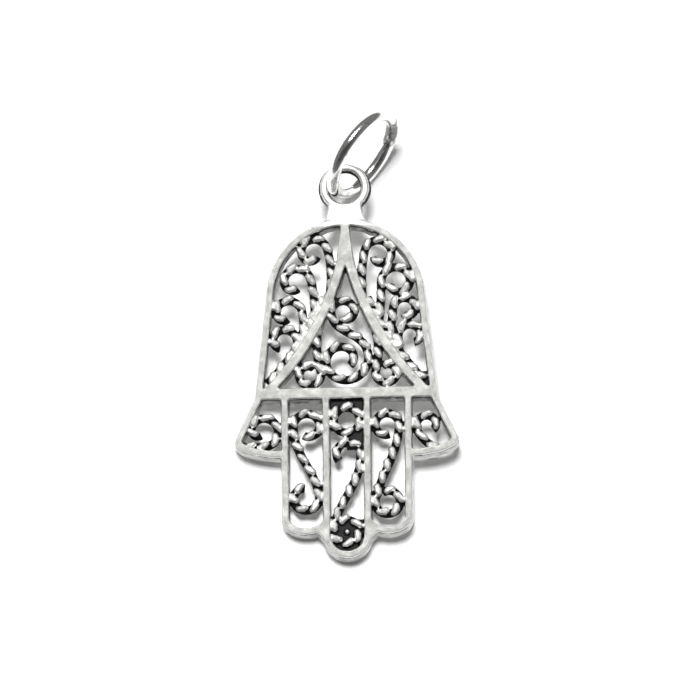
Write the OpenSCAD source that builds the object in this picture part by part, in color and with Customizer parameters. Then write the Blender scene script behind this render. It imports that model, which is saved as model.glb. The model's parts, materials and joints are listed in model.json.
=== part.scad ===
// A cast openwork hamsa (open hand) pendant with a round jump ring, lying on its back.
// Millimetres. +X is to the right of the hand, +Y runs from the fingertips to the jump ring and +Z is up.
// The origin is on the floor, under the centre of the whole.

/* [Palm] */
// Width of the palm across the foot of the band
palm_w = 12.3; // [10:0.1:16]
// Height from the foot of the band to the top of the arch
palm_h = 12.5; // [10:0.05:16]
// Width of the arch where its sides turn into the round top
arch_w = 10.7; // [9:0.1:14]
// Height of the round top of the arch
arch_rise = 5.6; // [4:0.1:7]
// Height of the band above the fingers
band_h = 0.76; // [0.5:0.02:1.2]

/* [Fingers and thumbs] */
// Spacing of the four finger bars
finger_pitch = 2.75; // [2.4:0.05:3.4]
// Length of the two outer fingers below the band
side_finger_l = 9.4; // [7:0.05:11]
// Length of the middle finger below the band
middle_finger_l = 11.05; // [9:0.05:13]
// Height of the round ends of the two outer fingers
side_tip_h = 1.16; // [0.8:0.02:1.36]
// Width from thumb tip to thumb tip
thumb_span = 15; // [13:0.1:18]
// Depth of the thumbs below the foot of the band
thumb_drop = 4.05; // [3:0.05:5]
// Depth of the thumb tips below the foot of the band
thumb_tip_drop = 2.85; // [2:0.05:3.4]

/* [Metal] */
// Thickness of the casting
plate_t = 1.2; // [0.9:0.05:1.6]
// Width of the rim and of the finger bars
rim_w = 0.48; // [0.35:0.01:0.7]
// Width of the two curved legs in the palm
leg_w = 0.64; // [0.45:0.01:0.9]
// Width of the stem under the top of the arch
stem_w = 0.48; // [0.4:0.01:0.8]
// Width of the stem's foot, where the legs part
fork_w = 1.06; // [0.9:0.02:1.2]
// Width and depth of the fine step along the upper edges of the bars
edge_step = 0.08; // [0.04:0.01:0.15]
// Width of the twisted wire of the scrolls
twist_w = 0.64; // [0.45:0.01:0.8]
// Length along the wire from one twist to the next
twist_pitch = 0.92; // [0.6:0.01:1.2]
// How far the scrolls lie below the face of the rim
scroll_sink = 0.06; // [0:0.01:0.3]
// How far the backs of the scrolls lie above the back of the rim
scroll_back = 0.3; // [0.05:0.01:0.4]
// Thickness of the floor that closes the middle finger beside its scrolls
web_t = 0.36; // [0.2:0.02:0.5]
// How far the back of this floor lies above the backs of the scrolls
web_rise = 0.07; // [0.03:0.01:0.2]

/* [Eyelet and jump ring] */
// Outside diameter of the eyelet
eyelet_d = 3.4; // [3:0.05:5]
// Hole of the eyelet
eyelet_hole_d = 2.16; // [1.9:0.02:3]
// Thickness of the eyelet
eyelet_t = 0.9; // [0.6:0.05:1.1]
// Height of the eyelet's centre above the top of the arch
eyelet_rise = 2.25; // [1.8:0.05:2.6]
// Width of the neck where it meets the eyelet
neck_w = 2.3; // [1.2:0.02:2.6]
// Outside diameter of the jump ring
ring_d = 7; // [6:0.1:10]
// Wire of the jump ring
ring_wire_d = 0.86; // [0.6:0.02:1.1]
// Direction in which the leaning jump ring runs, seen from above
ring_heading = 50.5; // [20:0.5:70]
// Slope of the jump ring against the floor
ring_slope = 80; // [65:0.1:85]
// How far round the jump ring the eyelet hangs, up from the ring's lowest point
ring_thread = 72; // [65:1:85]
// Direction, seen from above, in which the ring's wire lies off the middle of the hole
ring_side = 205; // [150:1:240]
// Clearance between the jump ring's wire and the wall of the hole it leans on
ring_clearance = 0.1; // [0.04:0.01:0.2]

/* [Hidden] */

SILVER = [0.66, 0.66, 0.67];
BRIGHT_SILVER = [0.8, 0.8, 0.82];

half_palm = palm_w / 2;
half_span = thumb_span / 2;
inner_bar_x = finger_pitch / 2;
outer_bar_x = finger_pitch * 3 / 2;
tip_r = inner_bar_x + rim_w / 2;
eyelet_y = palm_h + eyelet_rise;
eyelet_tube_w = (eyelet_d - eyelet_hole_d) / 2;
eyelet_ring_d = eyelet_d - eyelet_tube_w;
half_t = plate_t / 2;

// Sides of the bars' round ends and of the eyelet
BAR_SIDES = 12;
EYELET_SIDES = 32;
// The foot of the eyelet's neck lies this share of its width to each side
NECK_FLARE = 0.95;
// The webs beside the middle finger lie this share of the outer fingers' round ends above them
WEB_UP = 0.25;

// Twisted wire: the depth of its grooves and the width of its foot as shares of the wire's, the size of
// its cut ends, and the steps in which one twist is drawn
GROOVE = 0.66;
FOOT = 0.7;
END_SIZE = 0.6;
STEPS_PER_TWIST = 3;
twist_step = twist_pitch / STEPS_PER_TWIST;
twist_r = twist_w / 2;
wire_z = plate_t - scroll_sink - twist_r;

// Points along one curl, along a tail and along an arc of the rim
CURL_POINTS = 40;
TAIL_POINTS = 16;
ARC_POINTS = 14;
// A closed ring of wire laps over its own start
CLOSED_TURN = 370;
// Reach of the handles of an S scroll's tail, as a share of the distance between its curls
S_REACH = 0.4;

// The legs run from the stem to the band, as shares of half the palm's width and of its height
LEG_TOP = [0.03, 0.79];
LEG_FOOT = [0.87, 0.035];
// The legs' bow towards the middle, as a share of their length
LEG_BOW = 0.07;

// The rope beside each leg: where it starts and ends down the leg, and its distance off it in leg widths
VINE = [0.28, 0.97, 0.62];

// Curls that grow from the legs, all written for the right-hand side, one row each.
// side: -1 left, 1 right. root: share down the leg. across, up: centre, as shares of half the palm's width
// and of its height. big, small: radius at the tail and at the end, as shares of half the palm's width.
// start, turn: angle where the tail meets the curl, and the angle it turns through.
LEG_CURLS = [
  // side, root, across, up, big, small, start, turn
  [-1, 0.32, 0.345, 0.825, 0.152, 0.06, 165, -308],
  [-1, 0.55, 0.535, 0.66, 0.157, 0.08, 165, -290],
  [-1, 0.74, 0.63, 0.483, 0.157, 0.05, 170, -275],
  [-1, 0.86, 0.676, 0.331, 0.141, 0.085, 195, -255],
  [1, 0.3, 0.362, 0.812, 0.157, 0.065, 170, -335],
  [1, 0.5, 0.553, 0.656, 0.165, 0.065, 180, -370],
  [1, 0.63, 0.646, 0.501, 0.132, 0.05, 175, -300],
  [1, 0.76, 0.7, 0.352, 0.132, 0.08, 185, -245],
  [-1, 0.44, 0.4, 0.147, 0.125, 0.08, 165, 320],
  [1, 0.44, 0.437, 0.153, 0.119, 0.08, 165, 320],
];

// The S scroll of the centre panel and those of the fingers: two curls each, upper and lower.
// across, down: centre from the cell's top middle, as shares of its unit width and of its unit height.
// big, small: radii, as shares of the unit width. start, turn: as above. late: how late the curl tightens.
PANEL_SCROLL = [
  // across, down, big, small, start, turn, late
  [-0.024, -0.488, 0.137, 0.06, 195, -300, 3],
  [-0.028, -0.225, 0.285, 0.09, 38, -440, 1],
];
LEFT_SCROLL = [
  [0.03, 0.19, 0.33, 0.23, 180, -290, 3],
  [-0.01, 0.712, 0.33, 0.23, 10, -275, 3],
];
MIDDLE_SCROLL = [
  [0.03, 0.338, 0.3, 0.28, 0, 215, 3],
  [-0.025, 0.822, 0.325, 0.26, 170, 325, 3],
];
RIGHT_SCROLL = [
  [-0.025, 0.187, 0.3, 0.24, -5, 290, 3],
  [-0.016, 0.752, 0.31, 0.26, 165, 315, 3],
];
// The closed ring at the top of the middle finger: down, radius, as shares of the finger's length and pitch
MIDDLE_RING = [0.124, 0.32];

// The floor that closes the middle finger: left and right edge in finger pitches, and its upper and lower edge
// down the finger's length.
LOW_WEBS = [
  [-0.5, 0.02, -0.03, 0.19],
  [0, 0.5, -0.03, 0.31],
  [-0.5, 0.5, 0.75, 1],
];

// Curls of the thumbs, written for the right-hand side, with a tail from the thumb's rim.
// root_x, root_y: where the tail starts, and across, down: centre, all as shares of half the thumbs' span
// and of their drop. big, small: of the drop.
THUMB_CURLS = [
  // side, root_x, root_y, across, down, big, small, start, turn
  [-1, 0.93, 0.76, 0.767, 0.548, 0.25, 0.05, 270, -400],
  [1, 0.8, 0.87, 0.69, 0.53, 0.22, 0.11, 235, -255],
];

function mix(a, b, t) = a + (b - a) * t;
function mirrored(points, side) = [for (p = points) [p[0] * side, p[1]]];
function reversed(points) = [for (k = [len(points) - 1:-1:0]) points[k]];

// A curl from its tail inwards. At the usual lateness it stays near its big radius and tightens at the end.
function curl(centre, big, small, start, turn, late = 3) = [
  for (k = [0:CURL_POINTS])
    let (t = k / CURL_POINTS, r = mix(big, small, pow(t, late)), a = start + turn * t)
    centre + r * [cos(a), sin(a)]
];

// The direction in which a curl's tail leaves it.
function tail_direction(start, turn) = sign(turn) * [sin(start), -cos(start)];

// A smooth tail between two ends, each with its handle.
function tail(a, a_handle, b_handle, b) = [
  for (k = [0:TAIL_POINTS])
    let (t = k / TAIL_POINTS, between = mix(a_handle, b_handle, t))
    mix(mix(mix(a, a_handle, t), between, t), mix(between, mix(b_handle, b, t), t), t)
];

// A curl with a tail that ends at root.
function hook(root, centre, big, small, start, turn) =
  let (
    inward = curl(centre, big, small, start, turn),
    reach = norm(root - inward[0]) / 2,
    handle = inward[0] + tail_direction(start, turn) * reach
  )
  concat(tail(root, mix(root, handle, 2 / 3), mix(inward[0], handle, 2 / 3), inward[0]), inward);

// Two curls joined by one tail, from the inner end of the first to the inner end of the second.
function s_scroll(rows, origin, unit_w, unit_h) =
  let (
    ends = [
      for (r = rows)
        curl(origin + [r[0] * unit_w, -r[1] * unit_h], r[2] * unit_w, r[3] * unit_w, r[4], r[5], r[6])
    ],
    reach = norm(ends[1][0] - ends[0][0]) * S_REACH,
    handles = [for (i = [0, 1]) ends[i][0] + tail_direction(rows[i][4], rows[i][5]) * reach]
  )
  concat(reversed(ends[0]), tail(ends[0][0], handles[0], handles[1], ends[1][0]), ends[1]);

// A leg's point at share t of its way down, on the right-hand side.
leg_top = [LEG_TOP[0] * half_palm, LEG_TOP[1] * palm_h];
leg_foot = [LEG_FOOT[0] * half_palm, LEG_FOOT[1] * palm_h];
leg_inward = [leg_foot[1] - leg_top[1], leg_top[0] - leg_foot[0]];
function leg(t) = mix(leg_top, leg_foot, t) + leg_inward * LEG_BOW * 4 * t * (1 - t);

function leg_curl(r) = mirrored(
  hook(
    leg(r[1]), [r[2] * half_palm, r[3] * palm_h], r[4] * half_palm, r[5] * half_palm, r[6], r[7]
  ),
  r[0]
);

function thumb_curl(r) = mirrored(
  hook(
    [r[1] * half_span, -r[2] * thumb_drop],
    [r[3] * half_span, -r[4] * thumb_drop],
    r[5] * thumb_drop, r[6] * thumb_drop, r[7], r[8]
  ),
  r[0]
);

// The rope that runs down the outside of the right-hand leg.
vine = [
  for (k = [0:ARC_POINTS])
    let (t = mix(VINE[0], VINE[1], k / ARC_POINTS))
    leg(t) - leg_inward / norm(leg_inward) * leg_w * VINE[2]
];
middle_ring = [
  for (k = [0:CURL_POINTS])
    let (a = CLOSED_TURN * k / CURL_POINTS, r = MIDDLE_RING[1] * finger_pitch)
    [r * cos(a), -MIDDLE_RING[0] * middle_finger_l + r * sin(a)]
];

// At rest the plate tilts: its middle and left fingertips lie on the floor, and the jump ring's wire holds
// its eyelet up. The slope rises at the angle slope_to from +Y, found by halving a range.
STEEPEST = 80;
HALVINGS = 20;
fingertip = [0, -middle_finger_l + tip_r];
left_fingertip = [-finger_pitch, -side_finger_l + side_tip_h];
function uphill(a) = [sin(a), cos(a)];
function fingertip_low(a) = uphill(a) * fingertip - tip_r;
function left_fingertip_low(a) = uphill(a) * left_fingertip - norm([tip_r * sin(a), side_tip_h * cos(a)]);
function halved(low, high, n) =
  let (a = (low + high) / 2)
  n == 0 ? a : left_fingertip_low(a) > fingertip_low(a) ? halved(a, high, n - 1) : halved(low, a, n - 1);
slope_to = halved(0, STEEPEST, HALVINGS);
lever = uphill(slope_to) * [0, eyelet_y] - fingertip_low(slope_to);

// The jump ring leans on the wall of the eyelet's hole and stands on the floor.
ring_r = (ring_d - ring_wire_d) / 2;
ring_along = [cos(ring_heading), sin(ring_heading), 0];
ring_up = [-sin(ring_heading) * cos(ring_slope), cos(ring_heading) * cos(ring_slope), sin(ring_slope)];
ring_z = ring_r * ring_up[2] + ring_wire_d / 2;
thread = -ring_r * (ring_along * sin(ring_thread) + ring_up * cos(ring_thread));
tilt = asin((ring_z + thread[2]) / norm([lever, half_t])) - atan2(half_t, lever);

function tilted(p) =
  let (
    u = uphill(slope_to),
    k = [u[1], -u[0]],
    s = u * [p[0], p[1]],
    c = k * [p[0], p[1]],
    level = k * c + u * (s * cos(tilt) - p[2] * sin(tilt))
  )
  [each level, (s - fingertip_low(slope_to)) * sin(tilt) + p[2] * cos(tilt)];

hole_play = (eyelet_hole_d - ring_wire_d) / 2 - ring_clearance;
ring_at = tilted([0, eyelet_y, half_t]) + hole_play * [cos(ring_side), sin(ring_side), 0] - thread;
ring_back = ring_at[1] + ring_r * norm([ring_along[1], ring_up[1]]) + ring_wire_d / 2;
middle = [
  (tilted([-half_span, -thumb_tip_drop, plate_t])[0] + tilted([half_span, -thumb_tip_drop, 0])[0]) / 2,
  (tilted([0, -middle_finger_l, plate_t])[1] + ring_back) / 2
];
ring_centre = [ring_at[0] - middle[0], ring_at[1] - middle[1], ring_z];

module place_plate() {
  u = uphill(slope_to);
  translate([-middle[0], -middle[1], -fingertip_low(slope_to) * sin(tilt)])
    rotate(a = tilt, v = [u[1], -u[0], 0])
      children();
}

// Points at even steps along a path.
function distances(path) = [
  for (k = 0, s = 0; k < len(path); k = k + 1, s = s + (k < len(path) ? norm(path[k] - path[k - 1]) : 0)) s
];
function even(path, step) =
  let (
    s = distances(path),
    total = s[len(s) - 1],
    n = max(2, round(total / step)),
    xs = [for (k = [0:len(path) - 1]) [s[k], path[k][0]]],
    ys = [for (k = [0:len(path) - 1]) [s[k], path[k][1]]]
  )
  [for (k = [0:n]) [lookup(total * k / n, xs), lookup(total * k / n, ys)]];

// The level direction across a path at point k, towards its left.
function across(path, k) =
  let (d = path[min(k + 1, len(path) - 1)] - path[max(k - 1, 0)])
  [-d[1], d[0]] / norm(d);

// A solid through a row of sections, each a list of the same number of points.
module through(sections) {
  m = len(sections[0]);
  last = len(sections) - 1;
  points = [for (s = sections) each s];
  walls = [
    for (k = [0:last - 1], j = [0:m - 1])
      let (a = k * m + j, b = k * m + (j + 1) % m)
      each [[a, b, a + m], [b, b + m, a + m]]
  ];
  caps = [[for (j = [m - 1:-1:0]) j], [for (j = [0:m - 1]) last * m + j]];
  polyhedron(points, concat(walls, caps));
}

// Twisted wire on a flat foot, along a path. Its ridges wind over the four points of the upper half.
module twisted_wire(path) {
  p = even(path, twist_step);
  last = len(p) - 1;
  through([
    for (k = [0:last])
      let (
        left = across(p, k),
        size = k == 0 || k == last ? END_SIZE : 1,
        foot = left * twist_r * FOOT * size
      )
      concat(
        [[each p[k] + foot, scroll_back], [each p[k] - foot, scroll_back]],
        [
          for (j = [0:3])
            let (r = twist_r * size * ((k + STEPS_PER_TWIST - j) % STEPS_PER_TWIST == 0 ? 1 : GROOVE))
            [each p[k] - left * r * cos(j * 60), wire_z + r * sin(j * 60)]
        ]
      )
  ]);
}

// A flat strip along a path.
module strip(path, w) {
  last = len(path) - 1;
  polygon([
    for (side = [1, -1], k = [0:last])
      let (i = side == 1 ? k : last - k)
      path[i] + side * across(path, i) * w / 2
  ]);
}

// A straight strip with round ends.
module bar(a, b, a_w, b_w) {
  hull() {
    translate(a) circle(d = a_w, $fn = BAR_SIDES);
    translate(b) circle(d = b_w, $fn = BAR_SIDES);
  }
}

// A finger from the band down, with a round end: its outside, or its opening at an inset of rim_w.
module finger_shape(x, end_y, tip_h, inset) {
  half_w = tip_r - inset;
  round_y = end_y + tip_h;
  hull() {
    translate([x - half_w, round_y]) square([half_w * 2, -round_y]);
    translate([x, round_y]) scale([half_w, tip_h - inset]) circle(r = 1, $fn = ARC_POINTS * 2);
  }
}

module fingers(inset) {
  for (side = [-1, 1])
    finger_shape(side * finger_pitch, -side_finger_l, side_tip_h, inset);
  finger_shape(0, -middle_finger_l, tip_r, inset);
}

module webs() {
  y = -side_finger_l + side_tip_h * WEB_UP;
  for (side = [-1, 1])
    bar([side * (inner_bar_x + rim_w), y], [side * inner_bar_x, y - rim_w], rim_w, rim_w);
}

// The arch's outside at an angle from its right-hand end, and its height beside its middle.
function arch(a) = [arch_w / 2 * cos(a), palm_h - arch_rise * (1 - sin(a))];
function arch_height(x) = arch(acos(x / arch_w * 2))[1];

module palm() {
  polygon(concat(
    [[half_palm, 0]],
    [for (k = [0:ARC_POINTS * 2]) arch(180 * k / (ARC_POINTS * 2))],
    [[-half_palm, 0]]
  ));
}

module stem_and_legs() {
  bar([0, palm_h - rim_w / 2], [0, leg_top[1]], stem_w, fork_w);
  for (side = [-1, 1])
    strip(mirrored([for (k = [0:ARC_POINTS]) leg(k / ARC_POINTS)], side), leg_w);
}

module band() {
  x = half_palm - rim_w / 2;
  translate([-x, 0]) square([x * 2, band_h]);
}

module thumb(side) {
  outside = [half_span - outer_bar_x, thumb_drop - thumb_tip_drop];
  bar([side * (half_palm - rim_w / 2), 0], [side * (half_span - rim_w / 2), -thumb_tip_drop], rim_w, rim_w);
  polygon([
    for (inset = [0, rim_w], k = [0:ARC_POINTS])
      let (a = 90 * (inset == 0 ? k : ARC_POINTS - k) / ARC_POINTS, r = outside - [inset, inset])
      [side * (outer_bar_x + r[0] * cos(a)), -thumb_tip_drop - r[1] * sin(a)]
  ]);
}

// The neck spreads in hollow curves from the eyelet to the arch.
module neck() {
  foot_x = neck_w * NECK_FLARE;
  foot = [foot_x, arch_height(foot_x) - rim_w / 4];
  corner = [neck_w / 2, arch_height(neck_w / 2)];
  top = [neck_w / 2, eyelet_y - eyelet_ring_d / 2 + rim_w / 2];
  side = tail(foot, mix(foot, corner, 2 / 3), mix(top, corner, 2 / 3), top);
  polygon(concat(side, mirrored(reversed(side), -1)));
}

module frame_outline() {
  difference() {
    union() {
      palm();
      neck();
      fingers(0);
    }
    offset(delta = -rim_w) palm();
    fingers(rim_w);
    translate([0, eyelet_y]) rotate(180 / EYELET_SIDES) circle(d = eyelet_ring_d, $fn = EYELET_SIDES);
  }
  webs();
  stem_and_legs();
  band();
  thumb(-1);
  thumb(1);
}

module frame() {
  linear_extrude(plate_t - edge_step) frame_outline();
  translate([0, 0, half_t]) linear_extrude(half_t) offset(delta = -edge_step) frame_outline();
}

module eyelet() {
  translate([0, eyelet_y, half_t])
    rotate_extrude($fn = EYELET_SIDES)
      translate([eyelet_ring_d / 2, 0])
        scale([1, eyelet_t / eyelet_tube_w])
          circle(d = eyelet_tube_w, $fn = BAR_SIDES);
}

// The middle finger's opening is closed between its scrolls and its rim, below the scrolls' crests.
module low_webs() {
  translate([0, 0, scroll_back + web_rise])
    linear_extrude(web_t)
      difference() {
        intersection() {
          finger_shape(0, -middle_finger_l, tip_r, rim_w / 2);
          for (r = LOW_WEBS)
            translate([r[0] * finger_pitch, -r[3] * middle_finger_l])
              square([(r[1] - r[0]) * finger_pitch, (r[3] - r[2]) * middle_finger_l]);
        }
        translate([0, -MIDDLE_RING[0] * middle_finger_l])
          rotate(180 / EYELET_SIDES)
            circle(r = MIDDLE_RING[1] * finger_pitch, $fn = EYELET_SIDES);
      }
}

module scrolls() {
  for (side = [-1, 1])
    twisted_wire(mirrored(vine, side));
  for (r = LEG_CURLS)
    twisted_wire(leg_curl(r));
  for (r = THUMB_CURLS)
    twisted_wire(thumb_curl(r));
  twisted_wire(s_scroll(PANEL_SCROLL, [0, 0], half_palm, palm_h));
  twisted_wire(s_scroll(LEFT_SCROLL, [-finger_pitch, 0], finger_pitch, side_finger_l));
  twisted_wire(s_scroll(MIDDLE_SCROLL, [0, 0], finger_pitch, middle_finger_l));
  twisted_wire(s_scroll(RIGHT_SCROLL, [finger_pitch, 0], finger_pitch, side_finger_l));
  twisted_wire(middle_ring);
}

module hamsa_plate() {
  color(SILVER) place_plate() {
    frame();
    eyelet();
    low_webs();
    scrolls();
  }
}

module jump_ring() {
  color(BRIGHT_SILVER)
    translate(ring_centre)
      rotate([ring_slope, 0, ring_heading])
        rotate_extrude()
          translate([ring_r, 0])
            circle(d = ring_wire_d);
}

hamsa_plate();
jump_ring();
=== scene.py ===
"""A cast silver hamsa pendant with twisted-wire scrolls, lying on a white surface with its jump ring."""

import json
import math
import random
from types import SimpleNamespace

import bpy
import numpy as np
from mathutils import Matrix, Vector
from mathutils.bvhtree import BVHTree

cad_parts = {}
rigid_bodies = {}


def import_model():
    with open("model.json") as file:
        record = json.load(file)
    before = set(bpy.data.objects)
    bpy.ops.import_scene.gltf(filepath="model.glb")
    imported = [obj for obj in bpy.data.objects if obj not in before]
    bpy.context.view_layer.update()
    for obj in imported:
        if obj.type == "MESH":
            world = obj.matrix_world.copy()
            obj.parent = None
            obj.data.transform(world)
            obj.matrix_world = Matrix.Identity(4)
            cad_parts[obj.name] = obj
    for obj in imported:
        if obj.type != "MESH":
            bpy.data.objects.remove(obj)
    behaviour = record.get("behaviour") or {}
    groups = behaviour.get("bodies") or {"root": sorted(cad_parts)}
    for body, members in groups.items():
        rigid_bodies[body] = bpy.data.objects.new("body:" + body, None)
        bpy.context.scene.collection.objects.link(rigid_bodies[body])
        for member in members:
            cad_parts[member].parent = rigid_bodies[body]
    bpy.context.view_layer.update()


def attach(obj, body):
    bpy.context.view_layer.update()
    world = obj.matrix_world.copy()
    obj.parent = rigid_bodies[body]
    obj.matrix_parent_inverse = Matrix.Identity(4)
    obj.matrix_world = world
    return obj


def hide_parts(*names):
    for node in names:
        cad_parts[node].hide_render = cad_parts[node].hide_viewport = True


# Blender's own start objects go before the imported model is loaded.
for leftover in list(bpy.data.objects):
    bpy.data.objects.remove(leftover)
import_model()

bl_info = {
    "name": "Hamsa pendant",
    "version": (1, 0, 0),
    "blender": (4, 5, 0),
    "location": "View3D > Sidebar > Hamsa",
    "description": "Makes a cast openwork hamsa pendant with twisted-wire scrolls and a jump ring",
    "category": "Object",
}

# A millimetre in metres. The pendant is modelled flat and in millimetres, so a
# thousand times too large, and is scaled down when it is finished.
MM = 0.001

# The legs run from the stem to the band, as shares of half the palm's width
# and of its height, and bow towards the middle by a share of their length.
LEG_TOP = (0.03, 0.79)
LEG_FOOT = (0.87, 0.035)
LEG_BOW = 0.07
# The rope on the outer side of each leg: the shares of the leg where it starts and
# where it ends, each with its distance from the leg's middle line there in leg widths.
LEG_ROPE = ((0.28, 0.64), (0.93, 0.82))

# Curls that grow from the legs: side, root as a share of the leg, centre across and up, radius
# at the tail and at the end, angle where the tail meets the curl, and turn. Centres up are
# shares of the palm's height, all other lengths of half its width.
LEG_CURLS = (
    (-1, 0.32, 0.345, 0.825, 0.152, 0.06, 165, -290),
    (-1, 0.55, 0.535, 0.66, 0.157, 0.07, 165, -266),
    (-1, 0.74, 0.63, 0.483, 0.157, 0.05, 170, -255),
    (-1, 0.86, 0.676, 0.331, 0.141, 0.085, 195, -255),
    (1, 0.3, 0.362, 0.812, 0.157, 0.06, 170, -312),
    (1, 0.5, 0.553, 0.656, 0.165, 0.065, 180, -340),
    (1, 0.63, 0.646, 0.501, 0.132, 0.05, 175, -280),
    (1, 0.76, 0.7, 0.352, 0.132, 0.08, 185, -245),
    (-1, 0.44, 0.4, 0.147, 0.125, 0.08, 165, 320),
    (1, 0.44, 0.437, 0.153, 0.119, 0.08, 165, 320),
)
# Thumb curls: side, root across and down, centre across and down, radius at the tail and
# at the end, angle at the tail, turn, and how late the curl tightens. Lengths across are
# shares of half the thumb span, all others of the thumbs' depth.
THUMB_CURLS = (
    (-1, 0.93, 0.76, 0.747, 0.525, 0.25, 0.06, 268, -325, 5),
    (1, 0.83, 0.87, 0.72, 0.46, 0.185, 0.11, 205, -240, 3),
)
# S scrolls, the upper and the lower curl of each: centre across and down, radius at
# the tail and at the end, angle at the tail, turn, and how late it tightens. Centres
# down are shares of the palm's height or of the finger's length, all other lengths
# of half the palm's width or of the finger pitch.
PANEL_SCROLL = ((-0.024, -0.488, 0.137, 0.06, 195, -300, 3), (-0.028, -0.225, 0.285, 0.09, 38, -440, 1))
LEFT_SCROLL = ((0.03, 0.19, 0.33, 0.23, 180, -290, 3), (-0.01, 0.712, 0.33, 0.23, 10, -275, 3))
MIDDLE_SCROLL = ((0.03, 0.338, 0.3, 0.28, 0, 215, 3), (-0.025, 0.822, 0.325, 0.26, 170, 325, 3))
RIGHT_SCROLL = ((-0.025, 0.187, 0.3, 0.24, -5, 290, 3), (-0.016, 0.752, 0.31, 0.26, 165, 315, 3))
# How far a tail's handles reach, as shares of the distance
# between its ends: at a single curl and in a scroll.
CURL_REACH = 0.5
SCROLL_REACH = 0.4
# The closed ring at the top of the middle finger: its place down the finger's length, its radius in finger
# pitches, and the angle that its wire turns through, a little over a round, so that its ends overlap.
MIDDLE_RING = (0.124, 0.32)
MIDDLE_RING_TURN = 370

# The floor that closes the middle finger: left and right edge in finger pitches, upper and
# lower edge down the finger's length, and the share of its width that its lower end keeps.
LOW_WEBS = ((-0.5, 0.5, -0.03, 0.19, 1), (0, 0.5, 0.18, 0.31, 1), (-0.5, 0.5, 0.75, 0.985, 0.35))
# The floor in the right leg's corner: lower and upper edge in band heights, its
# width there in millimetres, and its middle across as a share of the palm's width.
CORNER_WEB = ((1.2, 2.5), (1.2, 0.8), 0.405)
# The bead: its radius, its stretch, how far its foot spreads,
# and its place from the middle of its curl, in millimetres.
BEAD_R = 0.17
BEAD_STRETCH = (1, 1.1, 1.3)
BEAD_FOOT = 1.5
BEAD_OFF = (0.05, -0.1)
# How far up the outer fingertip's height the crevice beside the middle finger is filled.
CREVICE_UP = 0.25

# The neck, in neck widths: how far out its feet stand,
# and its middle's width at the arch and at the eyelet.
NECK_FOOT = 0.95
NECK_WIDTHS = (0.9, 0.7)
# Where its sides end, in rim widths: inside its width,
# and above the lowest point of the eyelet's middle line.
NECK_TOP = (0.6, 0.25)
# The height of its sides, and of its middle at the eyelet, as shares of the plate's thickness.
NECK_SIDE_T = 0.9
NECK_MIDDLE_T = 0.85

# The eyelet's face: points from this share of its thickness above
# its middle keep this share of their distance from its top.
EYELET_FACE = (0.3, 0.7)
# The eyelet's wider lower half: from what share of its diameter outwards, up
# to what height above its middle in millimetres, and how much wider it is.
EYELET_SKIRT = (0.44, 0.1, 1.04)

# How much the lobes of one wire differ: how far each lies off its place along, across and above the wire in
# millimetres, its turn in radians, and the shares of its length, width and height that it has.
LOBE_SHIFTS = ((-0.04, 0.04), (-0.025, 0.025), (-0.03, 0.02))
LOBE_TURN = (-0.09, 0.09)
LOBE_SHARES = ((0.93, 1.05), (0.9, 1.1), (0.94, 1.06))
# A lobe's two ends, from this share of its length off its middle, lie aside by this share of its width.
LOBE_END = (0.22, 0.1)
SEED = 7

# Where the jump ring's seam lies and how far the solder's heat stained it to each side, in degrees.
SEAM_AT = -17
STAIN_REACH = 38
# The seam is a shallow groove between two low swellings: how far from it in degrees
# each of them starts and ends, and the share of the wire's thickness that it has.
SEAM_SHAPE = ((-0.5, 0.5, 0.94), (0.6, 5.5, 1.03))
# How strong the stain is on the wire's middle line, and
# how much it fades over one wire's width outwards.
STAIN_SIDES = (0.6, 1.4)

# Points on a curl, on a tail and on an arc, and the spacing
# of the sections of a bar and of a bed in millimetres.
CURL_POINTS = 40
TAIL_POINTS = 16
ARC_POINTS = 28
BAR_SPACING = 0.2
BED_SPACING = 0.15
# Triangles that the casting is thinned to.
MOST_TRIANGLES = 190000

# Rays that feel how shut in a point of the casting is: their height over the level
# and the turn of the first in radians, and their number. One more goes straight up.
CREVICE_RAYS = ((0.45, 0, 8), (1.0, 0.3, 6))
# How far off the surface they start and how far they reach, in millimetres,
# and the least cosine between the surface's normal and a ray that counts.
RAY_START = 0.02
RAY_REACH = 0.55
RAY_COSINE = 0.05
# The share of rays that meet silver where a crevice starts
# to be black, and how many more make it quite black.
CREVICE_SPAN = (0.22, 0.2)
# A wall's normal rises or falls by less than this. An outer wall's leans
# aside by more than this, and a ray this long meets nothing there.
SIDEWAYS = 0.4
FAR = 30
# Depth under the face where black oxide starts and over which it becomes full, on walls and elsewhere. On
# the walls this black just under the face is partly painted shade.
WALL_SPAN = (0.07, 0.08)
TOP_SPAN = (0.22, 0.18)
# The bars' inner walls: how near to a bar a point of them lies, the depth under the face where
# their oxide starts to thin out, the depth over which it would vanish, and the share that stays.
INNER_WALL = (0.08, 0.2, 0.3, 0.55)
# The outer walls are polished, and their black is painted shade: its share at their
# foot, how much more each millimetre up, and at most.
OUTER_WALL_SHADE = (0.2, 1.2, 0.7)
# The eyelet's sides: how far above the arch and over what length the outer walls
# turn into them, and their share of this painted shade.
EYELET_SIDE = (0.35, 0.5, 0.6)
# The share of the oxide in the crevices of the outer walls.
OUTER_CREVICE = 0.6
# How far down a point looks where the casting's back starts,
# and over what range. The back has no oxide by depth.
BACK_SPAN = (0.3, 0.4)
# The satin of the frame's faces, and the painted shade that greys them, starts and becomes full over these
# spans: how far up a point looks, and in millimetres how high it lies from the face, how far under the
# arch's outside, and how far beside the neck. The neck and the arch's top around it are left out of both.
SATIN_SHADE_UP = (0.9, 0.07)
SATIN_SHADE_HIGH = (-0.12, 0.05)
SATIN_SHADE_UNDER_ARCH = (0.1, 0.4)
SATIN_SHADE_BESIDE_NECK = (1.1, 1.2)


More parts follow.
